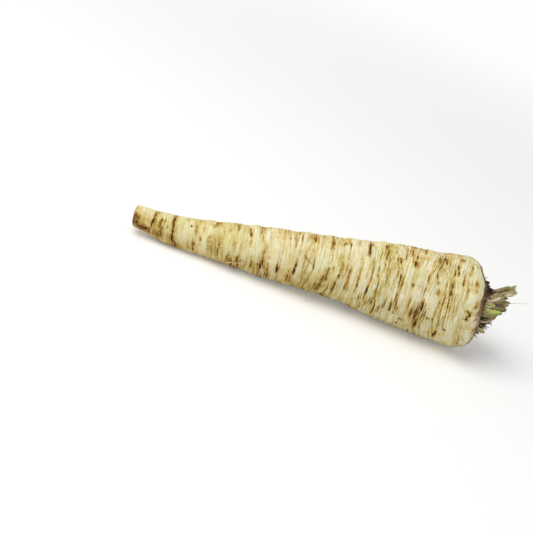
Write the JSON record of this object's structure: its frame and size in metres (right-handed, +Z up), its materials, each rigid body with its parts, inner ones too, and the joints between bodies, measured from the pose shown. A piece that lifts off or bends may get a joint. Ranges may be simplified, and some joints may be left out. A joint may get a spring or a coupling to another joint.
{
  "type": "parsley root",
  "caption": "Tapered root vegetable lying on its side, with a blunt cut tip and a crown of short cut leaf stalks and dry scales.",
  "frame": {"origin": "on the table, under the middle of the whole part's bounding box", "axes": "+X along the root from the cut tip to the crown, +Y across it, +Z up from the table"},
  "size_m": [0.2208, 0.05, 0.051],
  "materials": {
    "root_skin": "matte",
    "stalk_fresh": "matte",
    "stalk_dry": "matte",
    "dry_scale": "matte",
    "rootlet": "matte"
  },
  "bodies": {
    "root": {"taproot": "root_skin", "leaf_stalk_1": "stalk_dry", "leaf_stalk_2": "stalk_dry", "leaf_stalk_3": "stalk_dry", "leaf_stalk_4": "stalk_dry", "leaf_stalk_5": "stalk_fresh", "leaf_stalk_6": "stalk_dry", "leaf_stalk_7": "stalk_dry", "leaf_stalk_8": "stalk_fresh", "leaf_stalk_9": "stalk_dry", "leaf_stalk_10": "stalk_dry", "leaf_stalk_11": "stalk_fresh", "leaf_stalk_12": "stalk_dry", "heart_bud": "stalk_fresh", "dry_scale_1": "dry_scale", "dry_scale_2": "dry_scale", "dry_scale_3": "dry_scale", "dry_scale_4": "dry_scale", "dry_scale_5": "dry_scale", "dry_scale_6": "dry_scale", "rootlet_1": "rootlet", "rootlet_2": "rootlet", "rootlet_3": "rootlet", "rootlet_4": "rootlet", "rootlet_5": "rootlet", "rootlet_6": "rootlet", "crown_fibre": "rootlet"}
  },
  "joints": []
}
